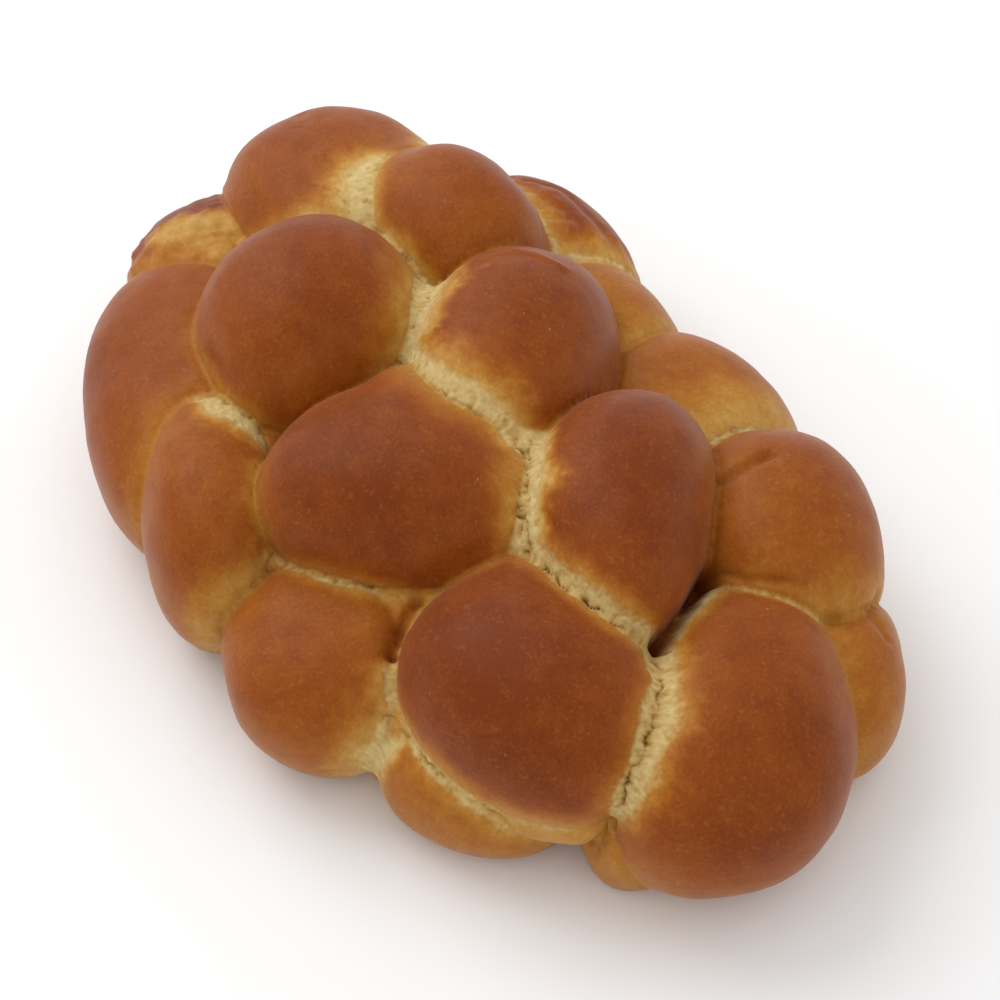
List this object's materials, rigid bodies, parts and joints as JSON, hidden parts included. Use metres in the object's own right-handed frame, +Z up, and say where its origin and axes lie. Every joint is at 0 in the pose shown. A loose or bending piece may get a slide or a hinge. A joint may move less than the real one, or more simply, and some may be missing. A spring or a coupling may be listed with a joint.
{
  "type": "braided loaf",
  "caption": "Plump oval loaf of plaited egg bread, with glossy browned swells and pale torn seams between them.",
  "frame": {"origin": "middle of the loaf's box, on the surface that it rests on", "axes": "+X along the loaf from its low far end to its plump near end, +Y across it, +Z up"},
  "size_m": [0.286, 0.1892, 0.082],
  "materials": {
    "crust": "egg-washed, satin browned crust, fading through orange to pale yellow crumb in the torn seams"
  },
  "bodies": {
    "root": {"loaf": "crust"}
  },
  "joints": []
}
